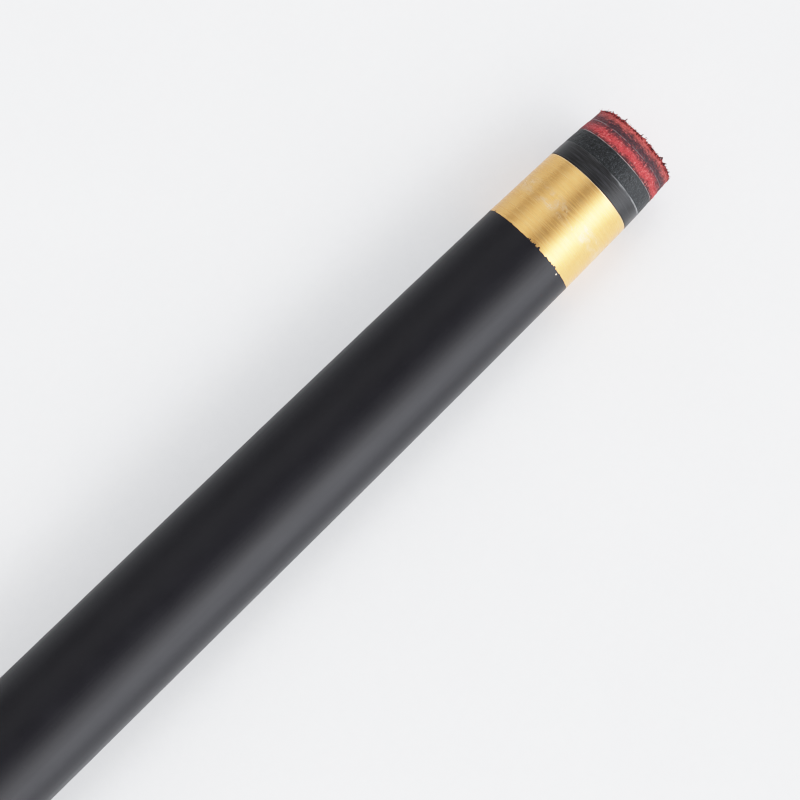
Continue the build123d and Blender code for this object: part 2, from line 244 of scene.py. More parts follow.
# ---------------------------------------------------------------- material helpers
class Mat:
    def __init__(self, name):
        self.m = bpy.data.materials.new(name)
        self.m.use_nodes = True
        self.nt = self.m.node_tree
        self.nt.nodes.clear()
        self.out = self.nt.nodes.new("ShaderNodeOutputMaterial")
        self.b = self.nt.nodes.new("ShaderNodeBsdfPrincipled")
        self.nt.links.new(self.b.outputs[0], self.out.inputs[0])
        self.tc = self.nt.nodes.new("ShaderNodeTexCoord")
        self._xyz = None

    def n(self, kind, **kw):
        node = self.nt.nodes.new(kind)
        for k, v in kw.items():
            if k in node.inputs.keys() if hasattr(node.inputs, "keys") else False:
                node.inputs[k].default_value = v
            else:
                setattr(node, k, v)
        return node

    def link(self, a, b):
        self.nt.links.new(a, b)

    def set(self, **kw):
        for k, v in kw.items():
            self.b.inputs[k.replace("_", " ")].default_value = v
        return self

    def coord(self, scale=(1, 1, 1), offset=(0, 0, 0)):
        """Object coordinates in mm, scaled: scale is features per mm along x, y, z."""
        mp = self.nt.nodes.new("ShaderNodeMapping")
        mp.vector_type = "POINT"
        mp.inputs["Scale"].default_value = tuple(1000.0 * s for s in scale)
        mp.inputs["Location"].default_value = offset
        self.link(self.tc.outputs["Object"], mp.inputs["Vector"])
        return mp.outputs[0]

    def noise(self, scale, detail=2.0, rough=0.5, distortion=0.0, offset=(0, 0, 0)):
        t = self.nt.nodes.new("ShaderNodeTexNoise")
        t.inputs["Scale"].default_value = 1.0
        t.inputs["Detail"].default_value = detail
        t.inputs["Roughness"].default_value = rough
        t.inputs["Distortion"].default_value = distortion
        self.link(self.coord(scale, offset), t.inputs["Vector"])
        return t.outputs["Fac"]

    def voronoi(self, scale, feature="F1", offset=(0, 0, 0)):
        t = self.nt.nodes.new("ShaderNodeTexVoronoi")
        t.feature = feature
        t.inputs["Scale"].default_value = 1.0
        self.link(self.coord(scale, offset), t.inputs["Vector"])
        return t.outputs["Distance"]

    def xmm(self, axis="X"):
        if self._xyz is None:
            s = self.nt.nodes.new("ShaderNodeSeparateXYZ")
            self.link(self.tc.outputs["Object"], s.inputs[0])
            self._xyz = s
        mul = self.math("MULTIPLY", self._xyz.outputs[axis], 1000.0)
        return mul

    def math(self, op, a, b=None, c=None, clamp=False):
        t = self.nt.nodes.new("ShaderNodeMath")
        t.operation = op
        t.use_clamp = clamp
        for i, v in enumerate((a, b, c)):
            if v is None:
                continue
            if isinstance(v, (int, float)):
                t.inputs[i].default_value = v
            else:
                self.link(v, t.inputs[i])
        return t.outputs[0]

    def ramp(self, fac, stops, interp="LINEAR"):
        t = self.nt.nodes.new("ShaderNodeValToRGB")
        cr = t.color_ramp
        cr.interpolation = interp
        while len(cr.elements) < len(stops):
            cr.elements.new(0.5)
        for e, (p, c) in zip(cr.elements, stops):
            e.position = p
            e.color = (c, c, c, 1) if isinstance(c, (int, float)) else (*c, 1)
        self.link(fac, t.inputs[0])
        return t.outputs["Color"]

    def maprange(self, v, a, b, c=0.0, d=1.0, smooth=False):
        t = self.nt.nodes.new("ShaderNodeMapRange")
        t.clamp = True
        if smooth:
            t.interpolation_type = "SMOOTHSTEP"
        for k, x in (("From Min", a), ("From Max", b), ("To Min", c), ("To Max", d)):
            t.inputs[k].default_value = x
        self.link(v, t.inputs["Value"])
        return t.outputs[0]

    def mix(self, fac, a, b, mode="MIX"):
        t = self.nt.nodes.new("ShaderNodeMix")
        t.data_type = "RGBA"
        t.blend_type = mode
        t.clamp_factor = True
        for name, v in (("Factor", fac), ("A", a), ("B", b)):
            sock = [s for s in t.inputs if s.name == name and (s.type == "RGBA" or (name == "Factor" and s.type == "VALUE"))][0]
            if isinstance(v, (int, float)):
                sock.default_value = v
            elif isinstance(v, (tuple, list)):
                sock.default_value = (*v, 1) if len(v) == 3 else v
            else:
                self.link(v, sock)
        return [o for o in t.outputs if o.type == "RGBA"][0]

    def bump(self, height, strength=0.5, dist_mm=0.02, normal=None):
        t = self.nt.nodes.new("ShaderNodeBump")
        t.inputs["Strength"].default_value = strength
        t.inputs["Distance"].default_value = dist_mm * MM
        self.link(height, t.inputs["Height"])
        if normal is not None:
            self.link(normal, t.inputs["Normal"])
        return t.outputs[0]

    def to(self, sock, v):
        self.link(v, self.b.inputs[sock])
        return self


# ---------------------------------------------------------------- materials
fr0, fr1 = 10.16 / 2, 9.80 / 2


def mat_shaft():
    m = Mat("composite_black")
    m.set(Specular_IOR_Level=0.165, Metallic=0.0)
    streak = m.noise((0.05, 5.0, 5.0), 4, 0.6)
    blotch = m.noise((0.25, 0.5, 0.5), 3, 0.55, offset=(5, 2, 1))
    speck = m.voronoi((2.3, 2.3, 2.3), offset=(3, 3, 3))
    speckmask = m.maprange(speck, 0.035, 0.06, 1.0, 0.0)
    base = m.ramp(blotch, [(0.3, (0.0012, 0.0010, 0.0024)), (0.7, (0.0022, 0.0020, 0.0036))])
    base = m.mix(m.math("MULTIPLY", speckmask, 0.35), base, (0.05, 0.05, 0.055))
    # a pit through the paint close to the ferrule
    w = math.radians(42.7)
    at = (X_FERRULE - 0.21, -fr0 * math.sin(w), fr0 * math.cos(w))
    d2 = None
    for axis, c in zip("XYZ", at):
        q = m.math("SUBTRACT", m.xmm(axis), c)
        q = m.math("MULTIPLY", q, q)
        d2 = q if d2 is None else m.math("ADD", d2, q)
    base = m.mix(m.maprange(d2, 0.003, 0.010, 1.0, 0.0), base, (0.62, 0.52, 0.40))
    m.to("Base Color", base)
    r = m.math("ADD", m.maprange(streak, 0.3, 0.7, -0.035, 0.035), m.maprange(blotch, 0.3, 0.7, 0.40, 0.45))
    m.to("Roughness", r)
    fine = m.noise((6.0, 14.0, 14.0), 3, 0.6)
    bmp = m.bump(fine, 0.10, 0.012)
    bmp = m.bump(streak, 0.12, 0.02, bmp)
    m.to("Normal", bmp)
    return m.m


def mat_brass(name="brass_turned", rough=0.30, wear=True, x_mid=None):
    m = Mat(name)
    m.set(Metallic=1.0, Anisotropic=0.35, Coat_Weight=0.30, Coat_Roughness=0.25, Specular_Tint=(1.0, 0.92, 0.78, 1))
    lines = m.noise((16.0, 0.12, 0.12), 3, 0.65)
    lines2 = m.noise((5.0, 0.25, 0.25), 2, 0.5, offset=(9, 1, 4))
    mott = m.noise((1.1, 1.1, 1.1), 4, 0.6, offset=(2, 8, 1))
    grain = m.noise((5.0, 8.0, 8.0), 3, 0.7, offset=(1, 8, 1))
    fine = m.noise((12.0, 3.0, 3.0), 2, 0.6, offset=(1, 3, 6))
    col = m.ramp(m.math("ADD", m.math("MULTIPLY", lines, 0.6), m.math("MULTIPLY", mott, 0.4)),
                 [(0.30, (0.86, 0.410, 0.105)), (0.52, (0.93, 0.470, 0.132)), (0.75, (0.97, 0.55, 0.190))])
    rg = m.math("ADD", m.maprange(lines2, 0.3, 0.7, -0.05, 0.06), rough)
    if wear and x_mid is not None:
        # pale rubbed patches in a band round the middle
        band = m.math("ABSOLUTE", m.math("SUBTRACT", m.xmm(), x_mid))
        band = m.maprange(band, 0.25, 1.15, 1.0, 0.0, smooth=True)
        patch = m.noise((0.85, 0.60, 0.60), 4, 0.65, 0.6, offset=(4.2, 7.7, 2.4))
        patch = m.maprange(patch, 0.40, 0.66, 0.0, 1.0, smooth=True)
        rub = m.math("MULTIPLY", band, patch)
        rub = m.math("MULTIPLY", rub, m.maprange(m.math("ADD", m.math("MULTIPLY", grain, 0.6), m.math("MULTIPLY", fine, 0.4)), 0.38, 0.62, 0.20, 1.0))
        col = m.mix(m.math("MULTIPLY", rub, 0.68), col, (0.84, 0.69, 0.48))
        lip = m.maprange(m.math("SUBTRACT", X_PAD, m.xmm()), 0.05, 0.13, 0.8, 0.0)
        col = m.mix(lip, col, (0.97, 0.72, 0.42))
        rg = m.math("ADD", rg, m.math("MULTIPLY", rub, 0.18))
    m.to("Base Color", col)
    m.to("Roughness", rg)
    tan = m.n("ShaderNodeTangent")
    tan.direction_type = "RADIAL"
    tan.axis = "X"
    m.to("Tangent", tan.outputs[0])
    bmp = m.bump(lines, 0.07, 0.012)
    bmp = m.bump(grain, 0.16, 0.012, bmp)
    bmp = m.bump(fine, 0.10, 0.010, bmp)
    m.to("Normal", bmp)
    return m.m


def mat_pad():
    m = Mat("pad_black")
    m.set(Specular_IOR_Level=0.165)
    ring = m.noise((9.0, 0.25, 0.25), 4, 0.7)
    scratch = m.noise((26.0, 0.5, 0.5), 2, 0.6, offset=(3, 1, 0))
    mott = m.noise((1.6, 1.6, 1.6), 4, 0.6)
    col = m.ramp(m.math("ADD", m.math("MULTIPLY", ring, 0.5), m.math("MULTIPLY", mott, 0.5)),
                 [(0.35, (0.0020, 0.0020, 0.0024)), (0.6, (0.0045, 0.0045, 0.0050)), (0.75, (0.014, 0.014, 0.016))])
    col = m.mix(m.maprange(scratch, 0.50, 0.66, 0.0, 0.75), col, (0.024, 0.025, 0.028))
    # pale glue showing at the joint with the leather; towards -Y, the lit side, it is painted stronger, a painted
    # highlight on the glue line
    edge = m.maprange(m.math("SUBTRACT", X_BLACK, m.math("ADD", m.xmm(), m.maprange(m.noise((2.0, 2.0, 2.0), 2, 0.5), 0.3, 0.7, -0.06, 0.06))), 0.03, 0.19, 1.0, 0.0)
    broken = m.maprange(m.noise((0.6, 0.75, 0.75), 3, 0.6, offset=(1, 4, 9)), 0.42, 0.56, 0.25, 1.0)
    # painted highlight: the pale line is made stronger towards -Y, where the light falls
    low = m.maprange(m.xmm("Y"), -3.4, 0.4, 1.0, 0.12, smooth=True)
    broken = m.math("MULTIPLY", broken, low)
    col = m.mix(m.math("MULTIPLY", edge, broken), col, (0.15, 0.155, 0.16))
    m.to("Base Color", col)
    m.to("Roughness", m.maprange(scratch, 0.3, 0.7, 0.30, 0.46))
    bmp = m.bump(ring, 0.22, 0.02)
    bmp = m.bump(scratch, 0.18, 0.012, bmp)
    m.to("Normal", bmp)
    return m.m


def mat_black_leather():
    m = Mat("leather_black")
    m.set(Specular_IOR_Level=0.145)
    mott = m.noise((5.6, 5.6, 5.6), 5, 0.72)
    fibre = m.noise((11.0, 9.5, 9.5), 4, 0.78, 0.3, offset=(2, 2, 5))
    col = m.ramp(m.math("ADD", m.math("MULTIPLY", fibre, 0.6), m.math("MULTIPLY", mott, 0.4)),
                 [(0.42, (0.0010, 0.0010, 0.0013)), (0.50, (0.0048, 0.0058, 0.0068)), (0.56, (0.0155, 0.0178, 0.0196)), (0.66, (0.064, 0.070, 0.074))])
    edge = m.maprange(m.math("SUBTRACT", X_RED, m.xmm()), 0.015, 0.085, 1.0, 0.0)
    broken = m.maprange(m.noise((1.5, 1.2, 1.2), 3, 0.6, offset=(6, 4, 9)), 0.38, 0.56, 0.20, 0.80)
    col = m.mix(m.math("MULTIPLY", edge, broken), col, (0.34, 0.26, 0.26))
    m.to("Base Color", col)
    m.to("Roughness", m.maprange(mott, 0.3, 0.7, 0.42, 0.62))
    bmp = m.bump(fibre, 0.45, 0.04)
    bmp = m.bump(mott, 0.35, 0.05, bmp)
    m.to("Normal", bmp)
    return m.m


def mat_red(name, x0, x1, stops, glue0, seed, streaks, rough=(0.58, 0.80)):
    """Red leather whose colour runs along x from x0 to x1 through stops, mottled with fibres.
    streaks: how much of the mottling runs round the tip, 0 to 1."""
    m = Mat(name)
    m.set(Specular_IOR_Level=0.26, Sheen_Weight=0.05, Sheen_Roughness=0.35, Sheen_Tint=(0.9, 0.82, 0.82, 1))
    mott = m.noise((2.6, 2.6, 2.6), 4, 0.65, offset=(seed, 2, 3))
    fibre = m.noise((5.5, 4.6, 4.6), 3, 0.72, 0.6, offset=(2, seed, 5))
    strands = m.noise((4.2, 7.0, 7.0), 3, 0.72, 0.8, offset=(seed, seed, 1))
    rings = m.noise((6.5, 1.9, 1.9), 4, 0.66, 0.4, offset=(seed, 4, seed))
    wob = m.maprange(m.noise((0.5, 0.7, 0.7), 4, 0.6, offset=(9, seed, 7)), 0.3, 0.7, -0.14, 0.14)
    u = m.maprange(m.xmm(), x0, x1)
    u = m.math("ADD", u, m.math("ADD", wob, m.maprange(rings, 0.3, 0.7, -0.12 * streaks, 0.12 * streaks)), clamp=True)
    col = m.ramp(u, stops)
    f = m.math("ADD", m.math("MULTIPLY", fibre, 0.5), m.math("MULTIPLY", strands, 0.5))
    g = m.math("ADD", m.math("MULTIPLY", f, 1.0 - 0.55 * streaks), m.math("MULTIPLY", rings, 0.55 * streaks))
    dark = m.maprange(g, 0.40, 0.475, 0.80, 0.0)
    light = m.maprange(g, 0.525, 0.59, 0.0, 0.80)
    if streaks > 0.5:
        light = m.math("MULTIPLY", light, m.maprange(u, 0.30, 0.62, 0.22, 1.0))
    col = m.mix(dark, col, (0.020, 0.0035, 0.006))
    col = m.mix(light, col, (0.54, 0.090, 0.088))
    col = m.mix(m.maprange(mott, 0.55, 0.70, 0.0, 0.30), col, (0.09, 0.011, 0.016))
    # painted shade: towards +Y, the side away from the light, the red is painted darker and greyer, standing in for the
    # shade and grazing reflection there
    col = m.mix(m.maprange(m.xmm("Y"), 3.0, 4.4, 0.0, 0.62), col, (0.085, 0.016, 0.022))
    if glue0:
        edge = m.maprange(m.math("SUBTRACT", m.xmm(), x0), 0.012, 0.085, 1.0, 0.0)
        broken = m.maprange(m.noise((1.5, 0.9, 0.9), 3, 0.6, offset=(3, seed, 9)), glue0[0], glue0[1], 0.05, 0.95)
        broken = m.math("ADD", broken, m.maprange(m.xmm("Y"), 2.7, 3.5, 0.0, 1.0), clamp=True)
        col = m.mix(m.math("MULTIPLY", edge, broken), col, glue0[2])
    m.to("Base Color", col)
    m.to("Roughness", m.maprange(mott, 0.3, 0.7, *rough))
    bmp = m.bump(g, 0.60, 0.05)
    m.to("Normal", bmp)
    return m.m


def mat_fibre(name, stops):
    m = Mat(name)
    m.set(Specular_IOR_Level=0.25, Roughness=0.7)
    v = m.noise((3.6, 3.6, 3.6), 2, 0.6)
    m.to("Base Color", m.ramp(v, stops))
    return m.m


def mat_gloss_black(name="collar_black", rough=0.16):
    m = Mat(name)
    m.set(Specular_IOR_Level=0.38)
    v = m.noise((0.5, 0.5, 0.5), 4, 0.6)
    h = m.noise((0.4, 7.0, 7.0), 3, 0.6, offset=(1, 2, 3))
    m.to("Base Color", m.ramp(v, [(0.3, (0.0030, 0.0030, 0.0036)), (0.7, (0.0060, 0.0060, 0.0070))]))
    m.to("Roughness", m.maprange(h, 0.3, 0.7, rough - 0.03, rough + 0.07))
    m.to("Normal", m.bump(h, 0.03, 0.01))
    return m.m


def mat_wood_dark():
    m = Mat("wood_stained")
    m.set(Specular_IOR_Level=0.25, Coat_Weight=0.55, Coat_Roughness=0.10)
    big = m.noise((0.010, 0.16, 0.16), 5, 0.6, 1.2)
    pores = m.noise((0.10, 3.4, 3.4), 3, 0.75, offset=(4, 1, 1))
    fig = m.noise((0.028, 0.55, 0.55), 4, 0.65, 0.8, offset=(1, 9, 1))
    col = m.ramp(m.math("ADD", m.math("MULTIPLY", big, 0.55), m.math("MULTIPLY", fig, 0.45)),
                 [(0.36, (0.0060, 0.0020, 0.0012)), (0.46, (0.022, 0.0065, 0.0030)), (0.55, (0.062, 0.019, 0.0078)), (0.66, (0.125, 0.044, 0.018))])
    col = m.mix(m.maprange(pores, 0.54, 0.62, 0.0, 0.75), col, (0.003, 0.0014, 0.001))
    m.to("Base Color", col)
    m.to("Roughness", m.maprange(pores, 0.3, 0.7, 0.28, 0.42))
    m.to("Normal", m.bump(pores, 0.06, 0.03))
    return m.m


def mat_wood_pale(name="wood_maple"):
    m = Mat(name)
    m.set(Specular_IOR_Level=0.35)
    big = m.noise((0.02, 0.5, 0.5), 4, 0.6, 0.6)
    pores = m.noise((0.2, 5.0, 5.0), 2, 0.7)
    col = m.ramp(big, [(0.3, (0.24, 0.135, 0.062)), (0.5, (0.36, 0.22, 0.11)), (0.7, (0.46, 0.31, 0.17))])
    col = m.mix(m.maprange(pores, 0.55, 0.65, 0.0, 0.4), col, (0.25, 0.14, 0.07))
    m.to("Base Color", col)
    m.to("Roughness", m.maprange(pores, 0.3, 0.7, 0.5, 0.65))
    m.to("Normal", m.bump(pores, 0.1, 0.04))
    return m.m


def mat_linen():
    m = Mat("linen_thread")
    m.set(Specular_IOR_Level=0.3, Sheen_Weight=0.04, Sheen_Roughness=0.4)
    fleck = m.noise((0.9, 0.9, 0.9), 4, 0.75, 0.4)
    ply = m.noise((6.0, 3.0, 3.0), 3, 0.7, offset=(8, 2, 1))
    col = m.ramp(m.math("ADD", m.math("MULTIPLY", fleck, 0.7), m.math("MULTIPLY", ply, 0.3)),
                 [(0.42, (0.0035, 0.0035, 0.0040)), (0.56, (0.010, 0.010, 0.0105)), (0.63, (0.060, 0.057, 0.052)), (0.72, (0.21, 0.20, 0.18))])
    m.to("Base Color", col)
    m.to("Roughness", m.maprange(ply, 0.3, 0.7, 0.5, 0.75))
    m.to("Normal", m.bump(ply, 0.35, 0.05))
    return m.m


def mat_steel(name="steel_turned"):
    m = Mat(name)
    m.set(Metallic=1.0)
    lines = m.noise((7.0, 0.3, 0.3), 3, 0.6)
    mott = m.noise((1.0, 1.0, 1.0), 3, 0.6, offset=(4, 4, 4))
    m.to("Base Color", m.ramp(lines, [(0.3, (0.36, 0.36, 0.37)), (0.7, (0.50, 0.50, 0.51))]))
    m.to("Roughness", m.maprange(mott, 0.3, 0.7, 0.20, 0.34))
    m.to("Normal", m.bump(lines, 0.12, 0.02))
    return m.m


def mat_rubber():
    m = Mat("rubber_black")
    m.set(Specular_IOR_Level=0.35)
    v = m.noise((1.2, 1.2, 1.2), 4, 0.65)
    fine = m.noise((5.0, 5.0, 5.0), 3, 0.7)
    m.to("Base Color", m.ramp(v, [(0.3, (0.0055, 0.0055, 0.006)), (0.7, (0.013, 0.0125, 0.013))]))
    m.to("Roughness", m.maprange(fine, 0.3, 0.7, 0.62, 0.82))
    m.to("Normal", m.bump(fine, 0.25, 0.05))
    return m.m


def mat_foam():
    m = Mat("foam_cream")
    m.set(Specular_IOR_Level=0.2)
    v = m.voronoi((1.5, 1.5, 1.5))
    m.to("Base Color", m.ramp(v, [(0.1, (0.28, 0.24, 0.16)), (0.6, (0.48, 0.45, 0.34))]))
    m.to("Roughness", m.maprange(v, 0.0, 0.8, 0.75, 0.95))
    m.to("Normal", m.bump(v, 0.4, 0.2))
    return m.m


SHAFT = mat_shaft()
BRASS_F = mat_brass("brass_ferrule", 0.25, True, (X_FERRULE + X_PAD) / 2 + 0.10)
BRASS = mat_brass("brass_ring", 0.20, False)
PAD = mat_pad()
BLACK = mat_black_leather()
# the red layer is dark at both ends, burnished leather; next to the black layer the dark start is also a painted shadow
# at the joint
RED = mat_red("leather_red", X_RED, X_CROWN,
              [(0.0, (0.030, 0.005, 0.007)), (0.13, (0.085, 0.008, 0.010)), (0.26, (0.31, 0.017, 0.020)), (0.50, (0.40, 0.022, 0.026)),
               (0.66, (0.27, 0.016, 0.020)), (0.80, (0.095, 0.010, 0.015)), (1.0, (0.028, 0.006, 0.011))],
              None, 3.0, 0.25)
CROWN = mat_red("leather_crown", X_CROWN, X_RIM + 0.1,
                [(0.0, (0.028, 0.008, 0.014)), (0.18, (0.020, 0.006, 0.010)), (0.38, (0.045, 0.010, 0.015)), (0.55, (0.17, 0.024, 0.022)),
                 (0.74, (0.33, 0.036, 0.032)), (1.0, (0.44, 0.062, 0.050))],
                (0.43, 0.56, (0.20, 0.14, 0.15)), 8.0, 0.7)
FIBRE = mat_fibre("leather_fibre", [(0.36, (0.060, 0.006, 0.009)), (0.46, (0.18, 0.014, 0.018)), (0.56, (0.36, 0.036, 0.036)), (0.68, (0.56, 0.17, 0.13))])
FIBRE_DARK = mat_fibre("leather_fibre_dark", [(0.38, (0.012, 0.002, 0.003)), (0.50, (0.060, 0.004, 0.006)), (0.64, (0.17, 0.010, 0.012))])
COLLAR = mat_gloss_black()
WOOD = mat_wood_dark()
MAPLE = mat_wood_pale()
LINEN = mat_linen()
STEEL = mat_steel()
RUBBER = mat_rubber()
FOAM = mat_foam()

# ---------------------------------------------------------------- tip
SEG = 960


def ring_xyz(xs, rs, ang):
    return np.stack([xs, rs * np.cos(ang), rs * np.sin(ang)], 1)


def rough_side(amp, freq, seed, groove_at=(), depth=0.02, stretch=(1, 1, 1), octaves=3):
    def shape(xs, rs, ang):
        p = ring_xyz(xs, rs, ang) * freq * np.array(stretch) + seed
        d = amp * fbm(p, octaves)
        for g in groove_at:
            d = d - depth * np.exp(-(((xs - g) / 0.045) ** 2))
        return xs, np.where(rs > 1.0, rs + d, rs)
    return shape


pad_prof = [(X_PAD, 0.0), (X_PAD, tip_r(X_PAD) - 0.06)] + [(x, tip_r(x) - 0.02 * math.exp(-(x - X_PAD) / 0.1)) for x in np.linspace(X_PAD + 0.03, X_BLACK - 0.02, 40)] + [(X_BLACK, tip_r(X_BLACK) - 0.015), (X_BLACK, 0.0)]
lathe("tip_pad_fine", pad_prof, SEG, PAD, "shaft", "tip_pad", closed=False, shape=rough_side(0.004, 3.0, 5.0, stretch=(3, 0.3, 0.3)))

blk_prof = [(X_BLACK, 0.0), (X_BLACK, tip_r(X_BLACK) - 0.015)] + [(x, tip_r(x)) for x in np.linspace(X_BLACK + 0.02, X_RED - 0.02, 46)] + [(X_RED, tip_r(X_RED) - 0.02), (X_RED, 0.0)]
lathe("tip_black_leather_fine", blk_prof, SEG, BLACK, "shaft", "tip_black_leather", closed=False, shape=rough_side(0.034, 3.4, 11.0, octaves=4))

red_prof = [(X_RED, 0.0), (X_RED, tip_r(X_RED) - 0.02)] + [(x, tip_r(x) + 0.012) for x in np.linspace(X_RED + 0.03, X_CROWN - 0.03, 40)] + [(X_CROWN, tip_r(X_CROWN) - 0.03), (X_CROWN, 0.0)]
lathe("tip_red_leather_fine", red_prof, SEG, RED, "shaft", "tip_red_leather", closed=False, sharp=80, shape=rough_side(0.085, 4.6, 23.0, octaves=4))

# the crown: conical side, rubbed ragged rim, shallow dome
rim_r = 8.86 / 2
dome_R = (rim_r**2 + 0.60**2) / (2 * 0.60)
crown_prof = [(X_CROWN, 0.0), (X_CROWN, tip_r(X_CROWN) - 0.03)]
crown_prof += [(x, tip_r(x) + 0.010) for x in np.linspace(X_CROWN + 0.03, X_RIM - 0.22, 34)]
crown_prof += [(X_RIM - 0.22 + 0.235 * math.sin(a), rim_r + 0.01 - 0.24 * (1 - math.cos(a))) for a in np.linspace(0.1, 1.32, 9)]
r_last = crown_prof[-1][1]
for rr in np.linspace(r_last - 0.05, 0.25, 70):
    crown_prof.append((X_APEX - dome_R + math.sqrt(dome_R**2 - rr**2) - 0.035, rr))
crown_prof.append((X_APEX - 0.035, 0.0))


def crown_shape(xs, rs, ang):
    p = ring_xyz(xs, rs, ang)
    d = 0.085 * fbm(p * 4.6 + 31.0, 4)
    near = np.exp(-(((xs - (X_RIM - 0.02)) / 0.22) ** 2)) * (rs > rim_r - 0.5)
    rag = fbm(p * np.array([1.0, 3.4, 3.4]) + 47.0, 4)
    side = np.clip((rs - (rim_r - 0.35)) / 0.25, 0, 1)
    radial = np.where(rs > 1.0, d * side + 0.07 * near * rag, 0)
    clump = np.clip(fbm(p * np.array([2.0, 6.5, 6.5]) + 71.0, 3), 0, None)
    radial = radial + 0.16 * near * clump
    axial = 0.045 * fbm(p * 3.0 + 3.0, 4) * (1 - side) + near * (0.17 * rag - 0.01 + 0.26 * clump)
    return xs + axial, rs + radial


lathe("tip_crown_fine", crown_prof, SEG, CROWN, "shaft", "tip_crown", closed=False, sharp=80, shape=crown_shape)


# loose fibres round the rim, on the red sides and on the playing face
def fibres(name, count, seed, place, length, radius, mat, stray=0.35, lean=1.3, curl=0.9):
    rng = np.random.RandomState(seed)
    verts, faces = [], []
    for k in range(count):
        p, nrm, tang = place(rng)
        L = rng.uniform(*length) * (1.0 if rng.rand() > 0.07 else 1.8)
        rad = rng.uniform(*radius)
        if hasattr(place, "length"):
            L = place.length
        d = nrm + tang * rng.uniform(-lean, lean) + rng.normal(size=3) * stray
        d /= np.linalg.norm(d)
        bend = rng.normal(size=3) * curl
        steps = 5
        pts, q = [], p - nrm * 0.03
        for s in range(steps + 1):
            pts.append(q.copy())
            d = d + bend * 0.28
            d /= np.linalg.norm(d)
            q = q + d * (L / steps)
        base = len(verts)
        for s, c in enumerate(pts):
            t = pts[min(s + 1, steps)] - pts[max(s - 1, 0)]
            t /= np.linalg.norm(t)
            a = np.cross(t, [0.31, 0.77, 0.55])
            a /= np.linalg.norm(a)
            b = np.cross(t, a)
            rr = rad * (1 - 0.55 * (s / steps) ** 1.5)
            for j in range(4):
                w = j * math.pi / 2
                verts.append(c + rr * (math.cos(w) * a + math.sin(w) * b))
        for s in range(steps):
            for j in range(4):
                faces.append((base + 4 * s + j, base + 4 * s + (j + 1) % 4, base + 4 * s + 4 + (j + 1) % 4, base + 4 * s + 4 + j))
        faces.append((base + 3, base + 2, base + 1, base))
        e = base + 4 * steps
        faces.append((e, e + 1, e + 2, e + 3))
    return new_object(name, verts, faces, mat, "shaft", sharp=0)


def at_rim(rng):
    w = rng.uniform(0, 2 * math.pi)
    x = X_RIM + rng.uniform(-0.16, 0.10)
    r = rim_r - 0.02 - max(0.0, x - (X_RIM - 0.05)) * 1.1
    out = np.array([0.0, math.cos(w), math.sin(w)])
    nrm = np.array([rng.uniform(0.4, 1.5), 0, 0]) + out
    nrm /= np.linalg.norm(nrm)
    return np.array([x, r * math.cos(w), r * math.sin(w)]), nrm, np.array([0, -math.sin(w), math.cos(w)])


def on_side(rng):
    w = rng.uniform(0, 2 * math.pi)
    x = rng.uniform(X_CROWN + 0.45, X_RIM) if rng.rand() < 0.6 else rng.uniform(X_RED + 0.15, X_CROWN - 0.3)
    out = np.array([0.0, math.cos(w), math.sin(w)])
    r = tip_r(x) + 0.005
    nrm = out * 0.30 + np.array([rng.uniform(-0.8, 0.9), 0, 0])
    nrm /= np.linalg.norm(nrm)
    return np.array([x, r * math.cos(w), r * math.sin(w)]), nrm, np.array([0, -math.sin(w), math.cos(w)])


def on_face(rng):
    w = rng.uniform(0, 2 * math.pi)
    r = rim_r * math.sqrt(rng.uniform(0.0, 0.97))
    x = X_APEX - dome_R + math.sqrt(dome_R**2 - r * r) - 0.03
    tang = rng.normal(size=3) * np.array([0.2, 1, 1])
    tang /= np.linalg.norm(tang)
    return np.array([x, r * math.cos(w), r * math.sin(w)]), np.array([0.55, 0.0, 0.0]), tang * 1.4


fibres("tip_fuzz_rim", 900, 3, at_rim, (0.10, 0.28), (0.022, 0.040), FIBRE)
fibres("tip_fuzz_clumps", 420, 13, at_rim, (0.10, 0.24), (0.040, 0.062), FIBRE_DARK)
fibres("tip_fuzz_side", 1100, 4, on_side, (0.06, 0.18), (0.010, 0.020), FIBRE)
fibres("tip_fuzz_face", 1500, 5, on_face, (0.10, 0.28), (0.012, 0.022), FIBRE)


def dome_x(r):
    return X_APEX - dome_R + math.sqrt(dome_R**2 - r * r) - 0.04


BROW_SLANT = math.radians(14.0)


def brow(y, off=0.0):
    """Point and outward normal where the playing face turns away from an eye above the shaft."""
    z = min(dome_R * math.sin(BROW_SLANT), math.sqrt(max(rim_r**2 - y * y, 0.0)) * 0.99) + off
    r = min(math.hypot(y, z), rim_r - 0.03)
    z = math.copysign(math.sqrt(max(r * r - y * y, 0.0)), z)
    nrm = np.array([math.sqrt(dome_R**2 - r * r), y, z]) / dome_R
    return np.array([dome_x(r), y, z]), nrm


def at_brow(rng):
    p, nrm = brow(rng.uniform(-4.3, 4.3), rng.uniform(-0.7, 0.35))
    return p, nrm, np.array([0.0, 1.0, 0.0])


fibres("tip_fuzz_brow", 330, 21, at_brow, (0.08, 0.24), (0.058, 0.092), FIBRE_DARK, stray=0.45, lean=1.0, curl=1.6)

# single long fibres that stand clear of the face: y, offset in z, lean along y, length
LONG = [(2.20, 0.2, -0.10, 0.50), (2.12, 0.4, 0.9, 0.26), (2.05, 0.1, -0.9, 0.22), (3.40, 0.3, 0.5, 0.26), (3.15, 0.2, -0.2, 0.22), (2.80, 0.3, 0.3, 0.20),
        (2.55, 0.2, -0.5, 0.18), (3.75, 0.2, 0.7, 0.20), (1.05, 0.2, 0.2, 0.14), (0.45, 0.2, -0.3, 0.13), (-0.35, 0.2, 0.3, 0.15), (-0.98, 0.3, -0.4, 0.26),
        (-1.6, 0.2, 0.3, 0.15), (-2.40, 0.3, -0.9, 0.30), (-2.66, 0.2, 0.6, 0.24), (-2.98, 0.3, -0.8, 0.30), (-3.15, 0.2, -0.1, 0.20), (-3.85, 0.3, -0.9, 0.22)]
order = iter(LONG)


